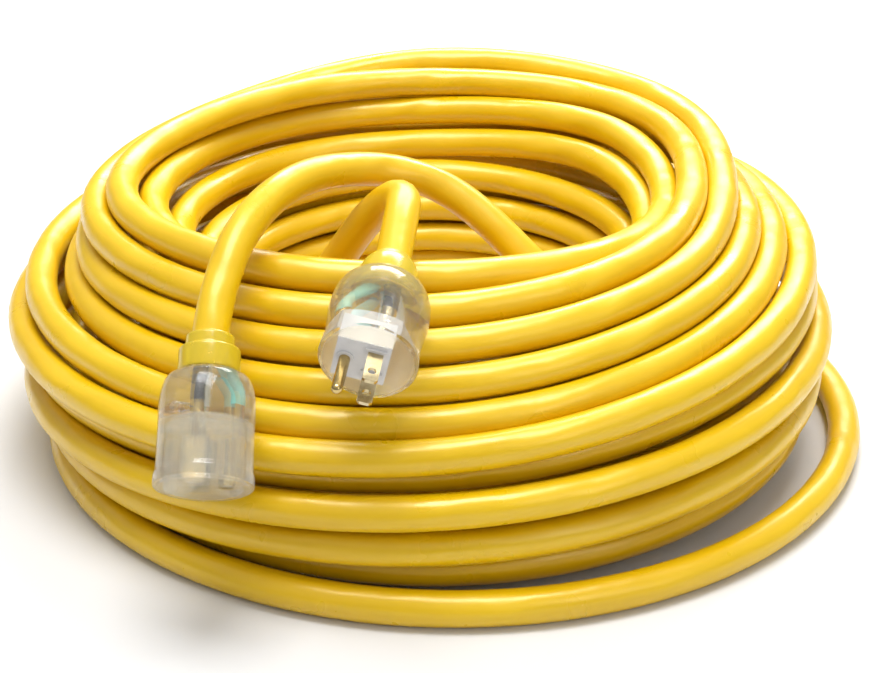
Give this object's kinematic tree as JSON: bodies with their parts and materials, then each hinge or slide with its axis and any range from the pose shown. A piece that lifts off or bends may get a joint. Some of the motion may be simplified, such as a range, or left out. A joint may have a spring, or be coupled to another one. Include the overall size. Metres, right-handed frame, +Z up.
{
  "type": "extension cord",
  "caption": "Heavy three-wire extension cord in a loose round coil, with a clear moulded plug and a clear moulded connector with an indicator lamp.",
  "frame": {"origin": "on the floor under the middle of the coil", "axes": "+Z up; the plug and the connector hang over the coil's -Y side"},
  "size_m": [0.4354, 0.4385, 0.1576],
  "materials": {
    "yellow_jacket": "glossy",
    "clear_moulding": "glossy",
    "white_insert": "satin",
    "clear_insert": "glossy",
    "brass": "satin",
    "nickel_blade": "satin",
    "black_insulation": "glossy",
    "white_insulation": "glossy",
    "green_insulation": "glossy",
    "copper": "bright",
    "lamp_glass": "glossy",
    "resistor_body": "satin",
    "tinned_wire": "bright"
  },
  "bodies": {
    "root": {"cord_coil": "yellow_jacket", "floor_turn": "yellow_jacket", "connector_lead": "yellow_jacket", "plug_lead": "yellow_jacket", "plug_body": "clear_moulding", "connector_body": "clear_moulding", "plug_bridge": "white_insert", "contact_carrier": "clear_insert", "carrier_cap": "clear_insert", "line_blade": "brass", "neutral_blade": "nickel_blade", "earth_pin": "brass", "line_contact": "brass", "neutral_contact": "nickel_blade", "earth_contact": "brass", "plug_line_conductor": "black_insulation", "connector_line_conductor": "black_insulation", "plug_neutral_conductor": "white_insulation", "connector_neutral_conductor": "white_insulation", "plug_earth_conductor": "green_insulation", "connector_earth_conductor": "green_insulation", "plug_line_strands": "copper", "plug_neutral_strands": "copper", "plug_earth_strands": "copper", "connector_line_strands": "copper", "connector_neutral_strands": "copper", "connector_earth_strands": "copper", "neon_lamp": "lamp_glass", "lamp_resistor": "resistor_body", "lamp_leads": "tinned_wire"}
  },
  "joints": []
}
